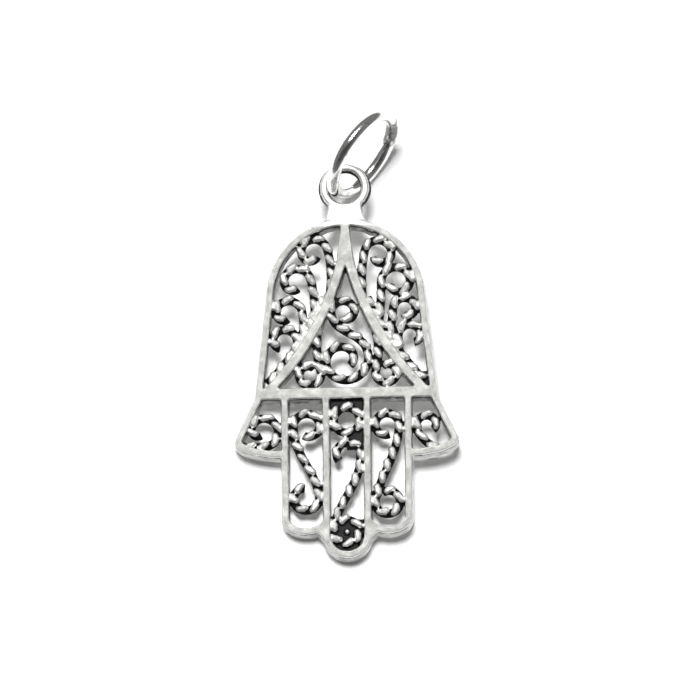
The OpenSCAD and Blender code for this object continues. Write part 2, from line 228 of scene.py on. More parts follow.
def linear(hex_colour):
    """The linear colour of an sRGB hex value, opaque."""
    parts = [int(hex_colour[k:k + 2], 16) / 255 for k in (0, 2, 4)]
    return (*(c / 12.92 if c <= 0.04045 else ((c + 0.055) / 1.055) ** 2.4 for c in parts), 1)


def size(name, mm, text):
    """A length that the sidebar shows, with its default in millimetres."""
    return bpy.props.FloatProperty(name=name, description=text, default=mm * MM, unit="LENGTH", precision=5)


def angle(name, degrees, text):
    """An angle that the sidebar shows."""
    turn = math.radians(degrees)
    return bpy.props.FloatProperty(name=name, description=text, default=turn, unit="ROTATION")


def colour(name, hex_colour, text):
    """A colour that the sidebar shows, with its default as an sRGB hex value."""
    return bpy.props.FloatVectorProperty(
        name=name, description=text, default=linear(hex_colour), subtype="COLOR", size=4, min=0, max=1,
    )


class HandSizes(bpy.types.PropertyGroup):
    """The frame of the hand"""

    palm_w: size("Palm width", 12.3, "Width of the palm across the foot of the band")
    palm_h: size("Palm height", 12.5, "Height from the foot of the band to the top of the arch")
    arch_w: size("Arch width", 10.7, "Width of the arch where its sides turn into the round top")
    arch_rise: size("Arch rise", 5.6, "Height of the round top of the arch")
    band_h: size("Band height", 0.76, "Height of the band above the fingers")
    finger_pitch: size("Finger pitch", 2.75, "Spacing of the four finger bars")
    side_finger_l: size("Outer finger length", 9.4, "Length of the two outer fingers below the band")
    middle_finger_l: size("Middle finger length", 11.05, "Length of the middle finger below the band")
    side_tip_h: size("Outer fingertip height", 1.16, "Height of the round ends of the two outer fingers")
    thumb_span: size("Thumb span", 15.0, "Width from thumb tip to thumb tip")
    thumb_drop: size("Thumb depth", 4.05, "Depth of the thumbs below the foot of the band")
    thumb_tip_drop: size("Thumb tip depth", 2.85, "Depth of the thumb tips below the foot of the band")
    plate_t: size("Thickness", 1.2, "Thickness of the casting")
    rim_w: size("Rim width", 0.48, "Width of the rim and of the finger bars")
    draft: size("Draft", 0.045, "How far a bar's back spreads on each side. Its face draws in half as far")
    edge_r: size("Edge rounding", 0.05, "Rounding of the bars' edges")
    leg_w: size("Leg width", 0.64, "Width of the two curved legs in the palm")
    stem_w: size("Stem width", 0.48, "Width of the stem under the top of the arch")
    fork_w: size("Fork width", 1.06, "Width of the stem's foot, where the legs part")


class RopeSizes(bpy.types.PropertyGroup):
    """The twisted wires and the floors beside them"""

    twist_pitch: size("Twist pitch", 0.92, "Length along the rope from one lobe to the next")
    scroll_sink: size("Sink", 0.06, "How far the scrolls lie below the face of the rim")
    scroll_back: size("Back", 0.3, "How far the backs of the scrolls lie above the back of the rim")
    bed_top: size("Bed", 0.8, "Height of the bed that the lobes of the twisted wire sit on")
    bed_w: size("Bed width", 0.6, "Width of this bed")
    lobe_l: size("Lobe length", 1.0, "Length of one lobe of the twisted wire")
    lobe_w: size("Lobe width", 0.54, "Width of one lobe")
    lobe_h: size("Lobe height", 0.54, "Height of one lobe")
    lobe_slant: angle("Lobe slant", 16, "How far the lobes turn off the line of the wire")
    web_t: size("Floor", 0.36, "Thickness of the floors in the middle finger and in the right leg's corner")
    web_rise: size("Floor rise", 0.07, "How far these floors' backs lie above the backs of the scrolls")


class RingSizes(bpy.types.PropertyGroup):
    """The eyelet, its neck and the jump ring"""

    eyelet_d: size("Eyelet diameter", 3.4, "Outside diameter of the eyelet")
    eyelet_hole_d: size("Eyelet hole", 2.16, "Hole of the eyelet")
    eyelet_t: size("Eyelet thickness", 0.9, "Thickness of the eyelet")
    eyelet_rise: size("Eyelet rise", 2.25, "Height of the eyelet's centre above the top of the arch")
    neck_w: size("Neck width", 2.3, "Width of the neck under the eyelet")
    ring_d: size("Ring diameter", 7.0, "Outside diameter of the jump ring")
    ring_wire_d: size("Ring wire", 0.86, "Wire of the jump ring")


class RestPose(bpy.types.PropertyGroup):
    """How the hand and the ring lie"""

    tilt: angle("Tilt", 4.87466, "How far the hand's face leans from level")
    slope_to: angle("Slope direction", 29.7644, "The way that it rises, from the top towards the right")
    middle_x: size("Middle across", -0.0208687, "Middle of the whole, across the hand")
    middle_y: size("Middle up", 4.25273, "Middle of the whole, up the hand")
    lift: size("Lift", 0.833212, "Height of the hand's origin when its fingertips touch the surface")
    ring_x: size("Ring across", 1.20417, "Centre of the jump ring, across the hand")
    ring_y: size("Ring up", 12.5381, "Centre of the jump ring, up the hand")
    ring_z: size("Ring height", 3.45336, "Height of the jump ring's centre above the surface")
    ring_slope: angle("Ring lean", 80.0, "How far the ring stands up from lying flat")
    ring_heading: angle("Ring heading", 50.5, "The way that the ring faces")


class Colours(bpy.types.PropertyGroup):
    """The silver, its oxide and stain, the painted shade, and the surface"""

    rubbed: colour("Rubbed silver", "F2F2F0", "Cast silver where polishing rubbed it bright")
    # The satin colours are greyer than silver: partly the satin's own mottled tone, partly painted shade
    # for the dim surroundings that the flat faces reflect.
    satin_shade_dark: colour("Satin silver, darker", "A6A6A3", "Darker blotches of the satin faces")
    satin_shade_light: colour("Satin silver, lighter", "D0D0CD", "Lighter blotches of the satin faces")
    # This black is the oxide in the recesses and also the painted shade on the walls just under the face.
    oxide_and_shade: colour("Oxide", "0C0C0D", "Black sulphide in the recesses")
    wire: colour("Wire", "EDEDEB", "Polished wire of the jump ring")
    stain: colour("Stain", "3C3C39", "Stain on the wire beside its seam")
    paper: colour("Surface", "FAFAFA", "The surface that the pendant lies on")


SIZE_GROUPS = {
    "hamsa_hand": HandSizes, "hamsa_rope": RopeSizes, "hamsa_ring": RingSizes, "hamsa_rest": RestPose,
}
GROUPS = {**SIZE_GROUPS, "hamsa_colours": Colours}


def all_sizes():
    """All lengths in millimetres and all angles in radians, by name."""
    found = {}
    for key in SIZE_GROUPS:
        group = getattr(bpy.context.scene, key)
        for name, field in group.__annotations__.items():
            unit = 1 if field.keywords.get("unit") == "ROTATION" else MM
            found[name] = getattr(group, name) / unit
    return SimpleNamespace(**found)


def faded(value, start, span):
    """How far a value is through a span that begins at start, from 0 to 1."""
    return min(1, max(0, (value - start) / span))


def turned(degrees):
    """The point at an angle and a distance of 1."""
    way = math.radians(degrees)
    return np.array([math.cos(way), math.sin(way)])


def arc(centre, radii, start, turn):
    """Points on part of an ellipse."""
    steps = range(ARC_POINTS + 1)
    return [np.array(centre) + np.array(radii) * turned(start + turn * k / ARC_POINTS) for k in steps]


def mirrored(points, side):
    """The points themselves for side 1, and on the other side of the hand for -1."""
    return [np.array([p[0] * side, p[1]]) for p in points]


def length_of(path):
    """The length of a path, from point to point."""
    return sum(float(np.linalg.norm(b - a)) for a, b in zip(path, path[1:]))


def curl(centre, big, small, start, turn, late=3):
    """A curl from its tail inwards. At the usual lateness it keeps near its big radius until its end."""
    shares = [k / CURL_POINTS for k in range(CURL_POINTS + 1)]
    return [np.array(centre) + (big + (small - big) * t ** late) * turned(start + turn * t) for t in shares]


def tail_direction(start, turn):
    """The way in which a tail leaves its curl, against the curl's turn."""
    way = math.radians(start)
    return math.copysign(1, turn) * np.array([math.sin(way), -math.cos(way)])


def tail(a, a_handle, b_handle, b):
    """A smooth tail between two ends, each with its handle."""
    points = []
    for k in range(TAIL_POINTS + 1):
        t = k / TAIL_POINTS
        near_a = (1 - t) ** 3 * a + 3 * t * (1 - t) ** 2 * a_handle
        points.append(near_a + 3 * t * t * (1 - t) * b_handle + t ** 3 * b)
    return points


def swept(a, handle, b):
    """A smooth tail between two ends that share one handle."""
    return tail(a, a + (handle - a) * 2 / 3, b + (handle - b) * 2 / 3, b)


def hook(root, centre, big, small, start, turn, late=3):
    """A curl with a tail that ends at root."""
    inward = curl(centre, big, small, start, turn, late)
    reach = np.linalg.norm(root - inward[0]) * CURL_REACH
    return swept(root, inward[0] + tail_direction(start, turn) * reach, inward[0]) + inward[1:]


def s_scroll(rows, across, unit_w, unit_h):
    """Two curls joined by one tail, in a cell whose middle lies so far across."""
    ends = []
    directions = []
    for x, y, big, small, start, turn, late in rows:
        centre = (across + x * unit_w, -y * unit_h)
        ends.append(curl(centre, big * unit_w, small * unit_w, start, turn, late))
        directions.append(tail_direction(start, turn))
    reach = np.linalg.norm(ends[1][0] - ends[0][0]) * SCROLL_REACH
    handles = [end[0] + direction * reach for end, direction in zip(ends, directions)]
    return ends[0][::-1] + tail(ends[0][0], *handles, ends[1][0])[1:] + ends[1][1:]


def leg_ends(sizes):
    """The right leg's top and foot, and the way across it towards the middle, as long as the leg."""
    half_palm = sizes.palm_w / 2
    top, foot = (np.array([x * half_palm, y * sizes.palm_h]) for x, y in (LEG_TOP, LEG_FOOT))
    return top, foot, np.array([foot[1] - top[1], top[0] - foot[0]])


def leg(sizes, t):
    """The right leg's point at share t of its way down."""
    top, foot, inward = leg_ends(sizes)
    return top + (foot - top) * t + inward * LEG_BOW * 4 * t * (1 - t)


def rope_paths(sizes):
    """The centre lines of all the twisted wires."""
    half_palm, half_span = sizes.palm_w / 2, sizes.thumb_span / 2
    pitch, drop = sizes.finger_pitch, sizes.thumb_drop
    inward = leg_ends(sizes)[2]
    outward = -inward / np.linalg.norm(inward) * sizes.leg_w
    beside = [leg(sizes, share) + outward * off for share, off in np.linspace(*LEG_ROPE, ARC_POINTS + 1)]
    paths = [mirrored(beside, side) for side in (-1, 1)]
    for side, root, x, y, big, small, start, turn in LEG_CURLS:
        centre = (x * half_palm, y * sizes.palm_h)
        curled = hook(leg(sizes, root), centre, big * half_palm, small * half_palm, start, turn)
        paths.append(mirrored(curled, side))
    for side, root_x, root_y, x, y, big, small, start, turn, late in THUMB_CURLS:
        root = np.array([root_x * half_span, -root_y * drop])
        curled = hook(root, (x * half_span, -y * drop), big * drop, small * drop, start, turn, late)
        paths.append(mirrored(curled, side))
    scrolls = (
        (PANEL_SCROLL, 0, half_palm, sizes.palm_h),
        (LEFT_SCROLL, -pitch, pitch, sizes.side_finger_l),
        (MIDDLE_SCROLL, 0, pitch, sizes.middle_finger_l),
        (RIGHT_SCROLL, pitch, pitch, sizes.side_finger_l),
    )
    paths += [s_scroll(*row) for row in scrolls]
    down, radius = MIDDLE_RING[0] * sizes.middle_finger_l, MIDDLE_RING[1] * pitch
    paths.append(curl((0, -down), radius, radius, 0, MIDDLE_RING_TURN))
    return paths


def only(obj):
    """Makes obj the only selected object, and the active one."""
    bpy.ops.object.select_all(action="DESELECT")
    obj.select_set(True)
    bpy.context.view_layer.objects.active = obj


def settled(obj):
    """Applies the object's place, turn and scale to its mesh."""
    only(obj)
    bpy.ops.object.transform_apply(location=True, rotation=True, scale=True)
    return obj


def applied(obj, kind, **settings):
    """Adds a modifier with its settings and applies it."""
    only(obj)
    modifier = obj.modifiers.new(kind.title(), kind)
    for name, value in settings.items():
        setattr(modifier, name, value)
    bpy.ops.object.modifier_apply(modifier=modifier.name)
    return obj


def joined(objects):
    """Makes one object of several."""
    only(objects[0])
    for obj in objects:
        obj.select_set(True)
    bpy.ops.object.join()
    return bpy.context.active_object


def mode(name):
    """Goes into edit mode, or back into object mode."""
    bpy.ops.object.mode_set(mode=name)


def marked(obj, test):
    """Selects the vertices whose places pass the test, and nothing else, for edit mode."""
    for item in (*obj.data.edges, *obj.data.polygons):
        item.select = False
    for vertex in obj.data.vertices:
        vertex.select = bool(test(vertex.co))


def reshaped(obj, test, shares, centre):
    """Scales the vertices of the active object whose places pass the test, about a centre."""
    marked(obj, test)
    mode("EDIT")
    bpy.ops.transform.resize(value=shares, center_override=centre)
    mode("OBJECT")
    return obj


def roughened(obj, name, scale, strength, mid_level=0.5):
    """Gives a piece the slightly uneven skin of hand-finished silver. Lengths are in millimetres."""
    clouds = bpy.data.textures.new(name, "CLOUDS")
    clouds.noise_scale = scale
    return applied(
        obj, "DISPLACE", texture=clouds, strength=strength, mid_level=mid_level, texture_coords="LOCAL",
    )


def drawn(profile, length, spacing, fewest):
    """Draws a profile, an outline in the YZ plane, out along X in sections, and closes its ends."""
    steps = max(fewest, round(length / spacing))
    applied(
        profile, "SCREW", axis="X", angle=0, screw_offset=length, steps=steps, render_steps=steps,
        use_smooth_shade=True,
    )
    mode("EDIT")
    bpy.ops.mesh.select_all(action="SELECT")
    bpy.ops.mesh.fill_holes(sides=0)
    bpy.ops.mesh.select_all(action="SELECT")
    bpy.ops.mesh.normals_make_consistent(inside=False)
    mode("OBJECT")
    return profile


def bent(obj, path):
    """Bends a straight piece along a level path."""
    data = bpy.data.curves.new("bend", "CURVE")
    data.dimensions = "2D"
    spline = data.splines.new("POLY")
    spline.points.add(len(path) - 1)
    for point, place in zip(spline.points, path):
        point.co = (place[0], place[1], 0, 1)
    guide = bpy.data.objects.new("bend", data)
    bpy.context.collection.objects.link(guide)
    applied(obj, "CURVE", object=guide, deform_axis="POS_X")
    bpy.data.objects.remove(guide)
    bpy.data.curves.remove(data)
    return obj


def flat_bar(sizes, path, width, high):
    """A bar of the frame along a path, from the plate's back up to a height, and wider at its back."""
    length = length_of(path)
    bpy.ops.mesh.primitive_plane_add(size=1, location=(0, 0, high / 2), rotation=(0, math.pi / 2, 0))
    bar = bpy.context.active_object
    bar.scale = (high, width, 1)
    settled(bar)
    marked(bar, lambda place: place.z < high / 2)
    mode("EDIT")
    bpy.ops.transform.resize(value=(1, 1 + 2 * sizes.draft / width, 1), center_override=(0, 0, 0))
    bpy.ops.mesh.select_all(action="INVERT")
    bpy.ops.transform.resize(value=(1, 1 - sizes.draft / width, 1), center_override=(0, 0, high))
    bpy.ops.mesh.select_all(action="SELECT")
    bpy.ops.mesh.bevel(offset=sizes.edge_r, segments=3, affect="VERTICES")
    bpy.ops.mesh.select_all(action="SELECT")
    bpy.ops.mesh.delete(type="ONLY_FACE")
    mode("OBJECT")
    return bent(drawn(bar, length, BAR_SPACING, 2), path)


def bed(sizes, length):
    """The low rod under a row of lobes, straight, with a flattened round section."""
    high = sizes.bed_top - sizes.scroll_back
    bpy.ops.mesh.primitive_circle_add(vertices=16, radius=sizes.bed_w / 2, rotation=(0, math.pi / 2, 0))
    outline = bpy.context.active_object
    outline.scale = (high / sizes.bed_w, 1, 1)
    rod = drawn(settled(outline), length, BED_SPACING, 8)
    rod.location.z = sizes.scroll_back + high / 2
    return settled(rod)


def grain(sizes):
    """One lobe of the twisted wire, a blunt rice grain whose two ends lie a little to either side."""
    lying = (0, math.pi / 2, 0)
    bpy.ops.mesh.primitive_uv_sphere_add(segments=20, ring_count=12, radius=0.5, rotation=lying)
    lobe = settled(bpy.context.active_object)
    lobe.scale = (sizes.lobe_l, sizes.lobe_w, sizes.lobe_h)
    settled(lobe)
    for side in (-1, 1):
        marked(lobe, lambda place: place.x * side > sizes.lobe_l * LOBE_END[0])
        mode("EDIT")
        bpy.ops.transform.translate(value=(0, side * sizes.lobe_w * LOBE_END[1], 0))
        mode("OBJECT")
    lobe.rotation_euler.z = sizes.lobe_slant
    return settled(lobe)


def rope(sizes, path, rng):
    """A row of lobes bent along a path, on a low bed."""
    length = length_of(path)
    count = max(2, round(length / sizes.twist_pitch))
    middle_z = sizes.plate_t - sizes.scroll_sink - sizes.lobe_h / 2
    first = grain(sizes)
    row = []
    for k in range(count):
        lobe = first.copy()
        lobe.data = first.data.copy()
        bpy.context.collection.objects.link(lobe)
        middle = (length * (k + 0.5) / count, 0, middle_z)
        lobe.location = [place + rng.uniform(*shift) for place, shift in zip(middle, LOBE_SHIFTS)]
        lobe.rotation_euler.z = rng.uniform(*LOBE_TURN)
        longer, wider, higher = (rng.uniform(*share) for share in LOBE_SHARES)
        lobe.scale = (longer * length / count / sizes.twist_pitch, wider, higher)
        row.append(lobe)
    bpy.data.objects.remove(first)
    return [bent(settled(joined(row)), path), bent(bed(sizes, length), path)]


def finger_line(across, radii, round_y):
    """The middle line of a finger's rim: down one side, round its tip and up the other."""
    tip = arc((across, round_y), radii, 0, -180)
    return [np.array([across + radii[0], 0]), *tip, np.array([across - radii[0], 0])]


def frame_lines(sizes):
    """The middle lines of the frame's bars, each with its width: arch, band, legs, thumbs and fingers."""
    rim, pitch = sizes.rim_w, sizes.finger_pitch
    foot_x = sizes.palm_w / 2 - rim / 2
    round_y = sizes.palm_h - sizes.arch_rise
    arch = arc((0, round_y), (sizes.arch_w / 2 - rim / 2, sizes.arch_rise - rim / 2), 0, 180)
    arch = [np.array([foot_x, 0]), *arch, np.array([-foot_x, 0])]
    band = [np.array([x, sizes.band_h / 2]) for x in (-foot_x, foot_x)]

    leg_line = [leg(sizes, k / ARC_POINTS) for k in range(ARC_POINTS + 1)]
    thumb_y, thumb_x = -sizes.thumb_tip_drop, sizes.thumb_span / 2
    thumb_side = [np.array([foot_x, 0]), np.array([thumb_x - rim / 2, thumb_y])]
    outer = pitch * 3 / 2
    thumb_radii = (thumb_x - outer - rim / 2, sizes.thumb_drop + thumb_y - rim / 2)
    thumb_round = arc((outer, thumb_y), thumb_radii, 0, -90)
    tip_y = -sizes.side_finger_l
    finger = finger_line(pitch, (pitch / 2, sizes.side_tip_h - rim / 2), tip_y + sizes.side_tip_h)
    crevice_y = tip_y + sizes.side_tip_h * CREVICE_UP
    crevice = [np.array([pitch / 2 + rim, crevice_y]), np.array([pitch / 2, crevice_y - rim])]
    halves = [(leg_line, sizes.leg_w)]
    halves += [(line, rim) for line in (thumb_side, thumb_round, finger, crevice)]

    lines = [(arch, rim), (band, sizes.band_h)]
    for side in (-1, 1):
        lines += [(mirrored(line, side), width) for line, width in halves]
    middle_y = -sizes.middle_finger_l + pitch / 2 + rim / 2
    lines.append((finger_line(0, (pitch / 2, pitch / 2), middle_y), rim))
    return lines


def tapered(ends, widths, heights, thin=1):
    """A block from a lower to an upper end, with a width at each, between two heights. Its upper end has
    the share thin of its thickness."""
    middle_y = (ends[0] + ends[1]) / 2
    bpy.ops.mesh.primitive_cube_add(size=1, location=(0, middle_y, (heights[0] + heights[1]) / 2))
    block = bpy.context.active_object
    block.scale = (widths[0], ends[1] - ends[0], heights[1] - heights[0])
    settled(block)
    shares = (widths[1] / widths[0], 1, thin)
    return reshaped(block, lambda place: place.y > middle_y, shares, (0, ends[1], heights[0]))


def stem(sizes):
    """The stem, which widens down to the fork where the legs part."""
    ends = (leg_ends(sizes)[0][1], sizes.palm_h - sizes.rim_w / 2)
    return tapered(ends, (sizes.fork_w, sizes.stem_w), (0, sizes.plate_t))


def arch_height(sizes, x):
    """The height of the arch's outside so far beside its middle."""
    share = np.clip(2 * x / sizes.arch_w, 0, 1)
    return sizes.palm_h - sizes.arch_rise * (1 - np.sqrt(1 - share ** 2))


def neck_pieces(sizes):
    """The neck, which spreads in hollow curves from the eyelet to the arch."""
    tube = (sizes.eyelet_d - sizes.eyelet_hole_d) / 2
    neck_w, rim, thick = sizes.neck_w, sizes.rim_w, sizes.plate_t
    high_y = sizes.palm_h + sizes.eyelet_rise - (sizes.eyelet_d - tube) / 2
    foot, corner = (
        np.array([x - rim / 2, arch_height(sizes, x) - rim / 2])
        for x in (neck_w * NECK_FOOT, neck_w / 2)
    )
    top = np.array([neck_w / 2 - rim * NECK_TOP[0], high_y + rim * NECK_TOP[1]])
    line = swept(foot, corner, top)
    pieces = [flat_bar(sizes, mirrored(line, side), rim, thick * NECK_SIDE_T) for side in (-1, 1)]
    widths = [neck_w * share for share in NECK_WIDTHS]
    pieces.append(tapered((sizes.palm_h - rim, high_y), widths, (0, thick), NECK_MIDDLE_T))
    return pieces


def eyelet(sizes):
    """The eyelet, a flattened ring with a rounded face."""
    tube = (sizes.eyelet_d - sizes.eyelet_hole_d) / 2
    thick = sizes.eyelet_t
    centre = (0, sizes.palm_h + sizes.eyelet_rise, sizes.plate_t / 2)
    bpy.ops.mesh.primitive_torus_add(
        major_radius=(sizes.eyelet_d - tube) / 2, minor_radius=tube / 2, location=centre,
        major_segments=72, minor_segments=24,
    )
    loop = bpy.context.active_object
    loop.scale.z = thick / tube
    settled(loop)

    def on_face(place):
        return place.z > centre[2] + thick * EYELET_FACE[0]

    def on_skirt(place):
        far = math.hypot(place.x, place.y - centre[1]) > sizes.eyelet_d * EYELET_SKIRT[0]
        return far and place.z < centre[2] + EYELET_SKIRT[1]

    reshaped(loop, on_face, (1, 1, EYELET_FACE[1]), (0, 0, centre[2] + thick / 2))
    return reshaped(loop, on_skirt, (EYELET_SKIRT[2], 1, 1), centre)


def floor_heights(sizes):
    """The heights between which the floors of the casting lie."""
    low = sizes.scroll_back + sizes.web_rise
    return low, low + sizes.web_t


def corner_web(sizes):
    """The little floor that closes the corner between the right leg's foot and the rim."""
    ends, widths, across = CORNER_WEB
    web = tapered([sizes.band_h * end for end in ends], widths, floor_heights(sizes))
    web.location.x = sizes.palm_w * across
    return settled(web)


def low_webs(sizes):
    """The floor that closes the middle finger beside its scrolls, open inside the upper ring."""
    pitch, long = sizes.finger_pitch, sizes.middle_finger_l
    webs = []
    for left, right, upper, lower, narrowed in LOW_WEBS:
        width = (right - left) * pitch
        web = tapered((-lower * long, -upper * long), (width * narrowed, width), floor_heights(sizes))
        web.location.x = (left + right) / 2 * pitch
        webs.append(settled(web))
    bpy.ops.mesh.primitive_cylinder_add(
        vertices=48, radius=MIDDLE_RING[1] * pitch, depth=4, location=(0, -MIDDLE_RING[0] * long, 0),
    )
    hole = bpy.context.active_object
    applied(webs[0], "BOOLEAN", object=hole, operation="DIFFERENCE")
    bpy.data.objects.remove(hole)
    return webs


def bead(sizes):
    """The small bead inside the middle fingertip's curl, which spreads to its foot."""
    across, down = MIDDLE_SCROLL[1][:2]
    bpy.ops.mesh.primitive_uv_sphere_add(segments=16, ring_count=10, radius=BEAD_R)
    ball = bpy.context.active_object
    ball.scale = BEAD_STRETCH
    settled(ball)
    reshaped(ball, lambda place: place.z < 0, (BEAD_FOOT, BEAD_FOOT, 1), (0, 0, 0))
    x, y = across * sizes.finger_pitch, -down * sizes.middle_finger_l
    ball.location = (x + BEAD_OFF[0], y + BEAD_OFF[1], sizes.bed_top)
    return settled(ball)


def surface_of(obj):
    """A tree that finds what a ray meets on the object's surface, and what lies near a place."""
    return BVHTree.FromPolygons([v.co for v in obj.data.vertices], [p.vertices for p in obj.data.polygons])


def crevice_rays():
    """The rays that feel how shut in a point is, in two rounds and one straight up."""
    rays = [Vector((0, 0, 1))]
    for rise, first, count in CREVICE_RAYS:
        for k in range(count):
            way = math.tau * k / count + first
            level = math.cos(rise)
            rays.append(Vector((math.cos(way) * level, math.sin(way) * level, math.sin(rise))))
    return rays


def oxide_and_shade_left(place, normal, surface, bars, rays, sizes):
    """How much black a point of the flat plate gets, as oxide and as painted shade: no oxide on the
    polished heights, little on the outer walls and low on the bars' inner walls, and all of it between the
    lobes. Painted shade blackens the walls just under the face: on the inner walls it is mixed with oxide,
    and on the polished outer walls all of the black by depth is painted shade."""
    start = place + normal * RAY_START
    outward = [ray for ray in rays if ray.dot(normal) > RAY_COSINE]
    met = sum(1 for ray in outward if surface.ray_cast(start, ray, RAY_REACH)[0] is not None)
    crevice = faded(met / len(rays), *CREVICE_SPAN)

    level = Vector((normal.x, normal.y, 0))
    outer = level.length > SIDEWAYS and surface.ray_cast(start, level.normalized(), FAR)[0] is None
    wall = abs(normal.z) < SIDEWAYS
    under = sizes.plate_t - place.z
    eyelet_side = faded(place.y - sizes.palm_h, *EYELET_SIDE[:2])
    # On the walls, the black that starts just under the face is partly oxide and partly painted shade.
    depth = faded(under, *(WALL_SPAN if wall else TOP_SPAN))
    near, thins_at, thins_over, least = INNER_WALL
    if wall and eyelet_side < 0.5 and under > thins_at and bars.find_nearest(place, near)[0] is not None:
        depth = max(least, 1 - (under - thins_at) / thins_over)
    # The outer walls are polished, so the black that they get here by depth is painted shade, darkest near
    # the face.
    if outer:
        foot, per_mm, most = OUTER_WALL_SHADE
        depth *= max(min(most, foot + place.z * per_mm), eyelet_side * EYELET_SIDE[2])
        crevice *= OUTER_CREVICE
    return max(crevice, depth * (1 - faded(-normal.z, *BACK_SPAN)))


def satin_shade_faces(points, normals, sizes):
    """How satin each point of the flat plate is, and so how much painted shade greys it: the frame's faces
    are, but not the neck and around it.
    """
    across = abs(points[:, 0])
    level = np.clip((normals[:, 2] - SATIN_SHADE_UP[0]) / SATIN_SHADE_UP[1], 0, 1)
    high = np.clip((points[:, 2] - sizes.plate_t - SATIN_SHADE_HIGH[0]) / SATIN_SHADE_HIGH[1], 0, 1)
    under_arch = (arch_height(sizes, across) - SATIN_SHADE_UNDER_ARCH[0] - points[:, 1]) / SATIN_SHADE_UNDER_ARCH[1]
    beside_neck = np.clip((across - SATIN_SHADE_BESIDE_NECK[0]) / SATIN_SHADE_BESIDE_NECK[1], 0, 1)
    return level * high * np.clip(under_arch + beside_neck, 0, 1)


def blackened(plate, bars, sizes):
    """Writes on each point of the flat plate how much black it gets, as oxide and as painted shade on the
    walls, and how satin it is, which also greys it as painted shade.
    """
    mesh = plate.data
    flat = np.empty((2, len(mesh.vertices) * 3), np.float32)
    mesh.vertices.foreach_get("co", flat[0])
    mesh.vertex_normals.foreach_get("vector", flat[1])
    points, normals = flat.reshape(2, -1, 3)
    surface, rays = surface_of(plate), crevice_rays()
    oxide_and_shade = [oxide_and_shade_left(Vector(p), Vector(n), surface, bars, rays, sizes) for p, n in zip(points, normals)]
    for name, values in (("oxide_and_shade", oxide_and_shade), ("satin_and_shade", satin_shade_faces(points, normals, sizes))):
        mesh.attributes.new(name, "FLOAT", "POINT").data.foreach_set("value", np.array(values, np.float32))


def at_rest(sizes):
    """Where the flat plate lies, fingertips on the floor and eyelet on the ring, at its real size."""
    turn = Matrix.Rotation(sizes.tilt, 4, (math.cos(sizes.slope_to), -math.sin(sizes.slope_to), 0))
    place = Matrix.Translation((-sizes.middle_x, -sizes.middle_y, sizes.lift))
    return Matrix.Scale(MM, 4) @ place @ turn


def softened(pieces):
    """Fuses the bars of the frame, rounds their corners and gives them a slightly uneven outline."""
    bars = joined(pieces)
    applied(bars, "REMESH", mode="VOXEL", voxel_size=0.06)
    applied(bars, "SMOOTH", factor=0.5, iterations=6)
    return roughened(bars, "bar_skin", 1.6, 0.06, 0.3)


def without_crumbs(plate, sizes):
    """Deletes the loose crumbs that thinning left beside the one large piece, which has the fingertip."""
    marked(plate, lambda place: place.y < -sizes.side_finger_l - sizes.rim_w)
    mode("EDIT")
    bpy.ops.mesh.select_linked()
    bpy.ops.mesh.select_all(action="INVERT")
    bpy.ops.mesh.delete(type="VERT")
    mode("OBJECT")


def cast(name, frame_pieces, pieces, sizes):
    """Fuses the frame and the scrolls into one casting, softens and blackens it, and lays it at rest."""
    bars = softened(frame_pieces)
    bars_surface = surface_of(bars)
    plate = joined([bars, *pieces])
    plate.name = name
    applied(plate, "REMESH", mode="VOXEL", voxel_size=0.05)
    applied(plate, "SMOOTH", factor=0.5, iterations=2)
    roughened(plate, "fine_skin", 0.35, 0.03)
    # The remeshed faces are four-sided, so each is two triangles.
    applied(plate, "DECIMATE", ratio=min(1.0, MOST_TRIANGLES / (2 * len(plate.data.polygons))))
    without_crumbs(plate, sizes)
    blackened(plate, bars_surface, sizes)
    plate.matrix_world = at_rest(sizes)
    return settled(plate)


def seam_angle(place, seam):
    """How far round the ring a place is from the seam, in degrees."""
    share = (place.x * seam[0] + place.y * seam[1]) / math.hypot(place.x, place.y)
    return math.degrees(math.acos(max(-1, min(1, share))))


def stained(ring, seam, radius, wire_d):
    """Writes on each point of the flat ring how far the solder's heat stained it."""
    stain = []
    for vertex in ring.data.vertices:
        outwards = (math.hypot(vertex.co.x, vertex.co.y) - radius) / wire_d
        inner = min(1, max(0, STAIN_SIDES[0] - STAIN_SIDES[1] * outwards))
        stain.append(min(1, max(0, 1 - seam_angle(vertex.co, seam) / STAIN_REACH)) * inner)
    ring.data.attributes.new("stain", "FLOAT", "POINT").data.foreach_set("value", stain)


def finished(obj, material, node):
    """Shades a piece smooth in its material. It stands for the node and takes its finish from the slot."""
    only(obj)
    bpy.ops.object.shade_smooth()
    obj.data.materials.append(material)
    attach(obj, "root")
    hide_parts(node)


def add(material, kind, settings, links):
    """Adds a node with its settings and links. A key is a socket's name or number, or a node's setting,
    and a link comes from a socket or from a node's first one."""
    node = material.node_tree.nodes.new("ShaderNode" + kind)
    for name, value in settings.items():
        if isinstance(name, int) or name in node.inputs:
            node.inputs[name].default_value = value
        else:
            setattr(node, name, value)
    for name, source in links.items():
        socket = source.outputs[0] if isinstance(source, bpy.types.Node) else source
        material.node_tree.links.new(socket, node.inputs[name])
    return node


def blank(name):
    """A new material with no nodes."""
    material = bpy.data.materials.new(name)
    material.use_nodes = True
    material.node_tree.nodes.clear()
    return material


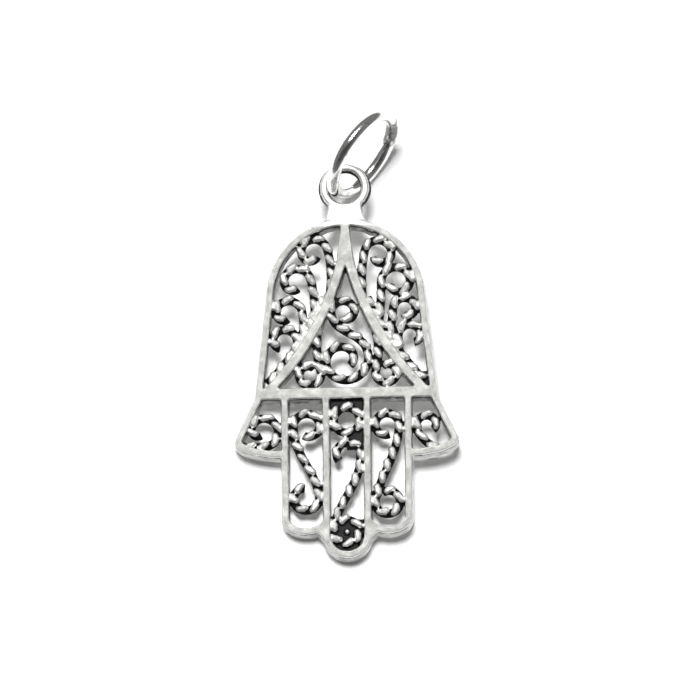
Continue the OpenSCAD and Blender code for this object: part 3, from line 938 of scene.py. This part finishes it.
def satin_and_shade_silver(colours):
    """Sterling silver, cast, tumbled and wiped after blackening: satin on its faces, whose grey is partly
    painted shade, with brighter rubbed edges, fine scratches and a mottled skin, and dull black sulphide
    left in every recess, which on the walls just under the face is partly painted shade."""
    metal = blank("satin_and_shade_cast_silver")
    place = add(metal, "TexCoord", {}, {}).outputs["Object"]
    oxide_and_shade = add(metal, "Attribute", {"attribute_name": "oxide_and_shade"}, {}).outputs["Fac"]
    satin_and_shade = add(metal, "Attribute", {"attribute_name": "satin_and_shade"}, {}).outputs["Fac"]

    # Blotches of 0.7 mm, grain of 0.12 mm, and long scratches 0.05 mm wide. The last two are coarser than
    # the real ones, so that they show.
    blotch = add(metal, "TexNoise", {"Scale": 1 / (0.7 * MM), "Detail": 3}, {"Vector": place})
    grit = add(metal, "TexNoise", {"Scale": 1 / (0.12 * MM), "Detail": 2}, {"Vector": place})
    stretched = add(metal, "Mapping", {"Rotation": (0, 0, 0.6), "Scale": (1, 0.08, 1)}, {"Vector": place})
    scratch = add(metal, "TexNoise", {"Scale": 1 / (0.05 * MM), "Detail": 1}, {"Vector": stretched})

    # The black ends in a ragged edge, because its share is shifted by the blotches.
    ragged = add(metal, "Math", {"operation": "MULTIPLY_ADD", 1: 0.5, 2: -0.25}, {0: blotch})
    share = add(metal, "Math", {"operation": "ADD"}, {0: oxide_and_shade, 1: ragged})
    black_share = add(metal, "MapRange", {"From Min": 0.22, "From Max": 0.7}, {"Value": share})

    # Satin faces are a mottled grey that is partly painted shade, and all that was rubbed bright is nearly
    # white.
    face = add(metal, "ValToRGB", {}, {"Fac": blotch})
    mottle_and_shade = ((0.3, colours.satin_shade_dark), (0.7, colours.satin_shade_light))
    for stop, (where, shade) in zip(face.color_ramp.elements, mottle_and_shade):
        stop.position = where
        stop.color = shade
    tint = add(metal, "Mix", {"data_type": "RGBA", 6: colours.rubbed}, {0: satin_and_shade, 7: face}).outputs[2]

    # Both are rougher where the grain is, and the satin faces more so.
    rough = add(metal, "MapRange", {"To Min": 0.36, "To Max": 0.6}, {"Value": grit})
    roughness = add(metal, "Math", {"operation": "MULTIPLY_ADD", 1: 0.27}, {0: satin_and_shade, 2: rough})
    marks = add(metal, "Math", {"operation": "MULTIPLY_ADD", 1: 0.6}, {0: scratch, 2: grit})
    bumps = add(metal, "Bump", {"Strength": 0.5, "Distance": 0.02 * MM}, {"Height": marks})

    silver_links = {"Base Color": tint, "Roughness": roughness, "Normal": bumps}
    silver = add(metal, "BsdfPrincipled", {"Metallic": 1}, silver_links)
    # The black shader gives the sulphide in the recesses and the painted shade on the walls.
    sulphide_and_shade = {"Base Color": colours.oxide_and_shade, "Roughness": 0.6, "Specular IOR Level": 0.2}
    black = add(metal, "BsdfPrincipled", sulphide_and_shade, {"Normal": bumps})
    mixed = add(metal, "MixShader", {}, {0: black_share, 1: silver, 2: black})
    add(metal, "OutputMaterial", {}, {"Surface": mixed})
    return metal


def polished_silver(colours):
    """Drawn sterling silver wire, polished: bright and mirror-like, with faint scratches, and stained in
    dark patches beside its soldered seam."""
    wire = blank("polished_silver_wire")
    place = add(wire, "TexCoord", {}, {}).outputs["Object"]
    # Rubbed patches of 0.4 mm and scratches 0.04 mm wide.
    rubbed = add(wire, "TexNoise", {"Scale": 1 / (0.4 * MM), "Detail": 2}, {"Vector": place})
    scratch = add(wire, "TexNoise", {"Scale": 1 / (0.04 * MM), "Detail": 1}, {"Vector": place})
    rough = add(wire, "MapRange", {"To Min": 0.08, "To Max": 0.24}, {"Value": rubbed})
    bumps = add(wire, "Bump", {"Strength": 0.12, "Distance": 0.006 * MM}, {"Height": scratch})
    stain = add(wire, "Attribute", {"attribute_name": "stain"}, {}).outputs["Fac"]
    patchy = add(wire, "Math", {"operation": "MULTIPLY_ADD", 1: 1.5}, {0: rubbed, 2: stain})
    dark = add(wire, "MapRange", {"From Min": 0.9, "From Max": 1.35, "To Max": 0.85}, {"Value": patchy})
    shades = {"data_type": "RGBA", 6: colours.wire, 7: colours.stain}
    tint = add(wire, "Mix", shades, {0: dark}).outputs[2]
    silver_links = {"Base Color": tint, "Roughness": rough, "Normal": bumps}
    silver = add(wire, "BsdfPrincipled", {"Metallic": 1}, silver_links)
    add(wire, "OutputMaterial", {}, {"Surface": silver})
    return wire


def white_paper(colours):
    """Smooth matt paper: white, with no gloss, so that only the soft shadows show on it."""
    paper = blank("white_matt_surface")
    shader = add(paper, "BsdfPrincipled", {"Base Color": colours.paper, "Roughness": 0.7}, {})
    add(paper, "OutputMaterial", {}, {"Surface": shader})
    return paper


# The surface's side in metres.
FLOOR_SIDE = 1.2
# The softbox's place and side in metres, and its power in watts.
SOFTBOX_AT = (-0.05, 0.15, 0.59)
SOFTBOX_SIDE = 0.21
SOFTBOX_POWER = 4.8
# The studio's walls give a little light, and its dark ceiling in front of
# the fingertips gives less: the strength of both, the way to the ceiling's
# middle, and how near to that way it starts and is darkest, as cosines.
WALL_LIGHT = 0.19
CEILING_LIGHT = 0.06
CEILING_WAY = (0, -0.57, 0.82)
CEILING_EDGES = (0.6, 0.94)

# The camera's tilt from straight down and its roll in degrees, its distance in metres,
# and the widths of its sensor and of what it sees at that distance in millimetres.
CAMERA_TILT = 20
CAMERA_ROLL = -0.4
CAMERA_DISTANCE = 1.2
SENSOR = 36
VIEW_WIDTH = 46.67
# What it looks at, from the middle fingertip towards the right and the top of the view, in millimetres.
TIP_TO_TARGET = (0.16, 13.833)


def soft_lights():
    """Dim walls all round and one large softbox beyond the eyelet, which whitens the surface."""
    world = bpy.data.worlds.new("studio")
    bpy.context.scene.world = world
    world.use_nodes = True
    background = world.node_tree.nodes["Background"]
    background.inputs["Color"].default_value = linear("FFFFFF")
    way = add(world, "TexCoord", {}, {}).outputs["Generated"]
    to_ceiling = {"operation": "DOT_PRODUCT", 1: CEILING_WAY}
    nearness = add(world, "VectorMath", to_ceiling, {0: way}).outputs["Value"]
    start, end = CEILING_EDGES
    shades = {"From Min": start, "From Max": end, "To Min": WALL_LIGHT, "To Max": CEILING_LIGHT}
    shade = add(world, "MapRange", shades, {"Value": nearness})
    world.node_tree.links.new(shade.outputs[0], background.inputs["Strength"])
    bpy.ops.object.light_add(type="AREA", location=SOFTBOX_AT)
    softbox = bpy.context.active_object
    softbox.name = "softbox"
    softbox.data.size = SOFTBOX_SIDE
    softbox.data.energy = SOFTBOX_POWER
    x, y, z = SOFTBOX_AT
    softbox.rotation_euler = (math.atan2(-y, z), math.atan2(x, z), 0)
    bpy.context.scene.view_settings.view_transform = "Standard"


def aim_camera(sizes):
    """Sets up the camera, which looks down at the pendant from a little in front of its fingertips."""
    bpy.ops.object.camera_add()
    camera = bpy.context.active_object
    camera.name = "camera"
    roll = Matrix.Rotation(math.radians(CAMERA_ROLL), 4, "Z")
    turn = roll @ Matrix.Rotation(math.radians(CAMERA_TILT), 4, "X")
    right, up, back = (turn.col[k].to_3d() for k in range(3))
    tip = at_rest(sizes) @ Vector((0, -sizes.middle_finger_l, sizes.plate_t))
    target = tip + (right * TIP_TO_TARGET[0] + up * TIP_TO_TARGET[1]) * MM
    camera.matrix_world = Matrix.Translation(target + back * CAMERA_DISTANCE) @ turn
    camera.data.sensor_width = SENSOR
    camera.data.lens = SENSOR * CAMERA_DISTANCE / (VIEW_WIDTH * MM)
    camera.data.clip_end = 10
    bpy.context.scene.camera = camera


class HAMSA_OT_casting(bpy.types.Operator):
    """Casts the hand: its frame, its twisted scrolls and its eyelet in one piece"""

    bl_idname = "hamsa.casting"
    bl_label = "Cast hand"

    def execute(self, context):
        sizes = all_sizes()
        bars = [flat_bar(sizes, line, width, sizes.plate_t) for line, width in frame_lines(sizes)]
        frame_pieces = [*bars, *neck_pieces(sizes), eyelet(sizes), stem(sizes)]
        pieces = [bead(sizes), corner_web(sizes), *low_webs(sizes)]
        rng = random.Random(SEED)
        for path in rope_paths(sizes):
            pieces += rope(sizes, path, rng)
        plate = cast("cast_hand", frame_pieces, pieces, sizes)
        finished(plate, satin_and_shade_silver(context.scene.hamsa_colours), "hamsa_plate")
        return {"FINISHED"}


class HAMSA_OT_jump_ring(bpy.types.Operator):
    """Makes the round jump ring, threaded through the eyelet"""

    bl_idname = "hamsa.jump_ring"
    bl_label = "Jump ring"

    def execute(self, context):
        sizes = all_sizes()
        bpy.ops.object.select_all(action="DESELECT")
        wire_d = sizes.ring_wire_d
        radius = (sizes.ring_d - wire_d) / 2
        bpy.ops.mesh.primitive_torus_add(
            major_radius=radius, minor_radius=wire_d / 2, major_segments=256, minor_segments=32,
        )
        ring = bpy.context.active_object
        ring.name = "round_jump_ring"
        seam = turned(SEAM_AT)
        for start, end, share in SEAM_SHAPE:
            reshaped(
                ring, lambda place: start < seam_angle(place, seam) < end,
                (share, share, share), (*(seam * radius), 0),
            )
        roughened(ring, "wire_skin", 1.2, 0.03)
        stained(ring, seam, radius, wire_d)
        place = Matrix.Translation([value * MM for value in (sizes.ring_x, sizes.ring_y, sizes.ring_z)])
        turn = Matrix.Rotation(sizes.ring_heading, 4, "Z") @ Matrix.Rotation(sizes.ring_slope, 4, "X")
        ring.matrix_world = place @ turn @ Matrix.Scale(MM, 4)
        finished(settled(ring), polished_silver(context.scene.hamsa_colours), "jump_ring")
        return {"FINISHED"}


class HAMSA_OT_stage(bpy.types.Operator):
    """Sets the white surface, the soft studio lights and the camera"""

    bl_idname = "hamsa.stage"
    bl_label = "Stage"

    def execute(self, context):
        bpy.ops.object.select_all(action="DESELECT")
        bpy.ops.mesh.primitive_plane_add(size=FLOOR_SIDE, location=(0, 0, 0))
        floor = bpy.context.active_object
        floor.name = "white_surface"
        floor.data.materials.append(white_paper(context.scene.hamsa_colours))
        soft_lights()
        aim_camera(all_sizes())
        return {"FINISHED"}


OPERATORS = (HAMSA_OT_casting, HAMSA_OT_jump_ring, HAMSA_OT_stage)


class HAMSA_PT_sidebar(bpy.types.Panel):
    """The pendant's sizes and colours, and the steps that make it"""

    bl_idname = "HAMSA_PT_sidebar"
    bl_label = "Hamsa pendant"
    bl_space_type = "VIEW_3D"
    bl_region_type = "UI"
    bl_category = "Hamsa"

    def draw(self, context):
        for key in GROUPS:
            group = getattr(context.scene, key)
            box = self.layout.box()
            for name in group.__annotations__:
                box.prop(group, name)
        for operator in OPERATORS:
            self.layout.operator(operator.bl_idname)


def register():
    for cls in (*GROUPS.values(), *OPERATORS, HAMSA_PT_sidebar):
        bpy.utils.register_class(cls)
    for name, group in GROUPS.items():
        setattr(bpy.types.Scene, name, bpy.props.PointerProperty(type=group))


def unregister():
    for name in GROUPS:
        delattr(bpy.types.Scene, name)
    for cls in (HAMSA_PT_sidebar, *OPERATORS, *GROUPS.values()):
        bpy.utils.unregister_class(cls)


def main():
    """Makes the pendant and its stage."""
    register()
    bpy.ops.hamsa.casting()
    bpy.ops.hamsa.jump_ring()
    bpy.ops.hamsa.stage()


if __name__ == "__main__":
    main()
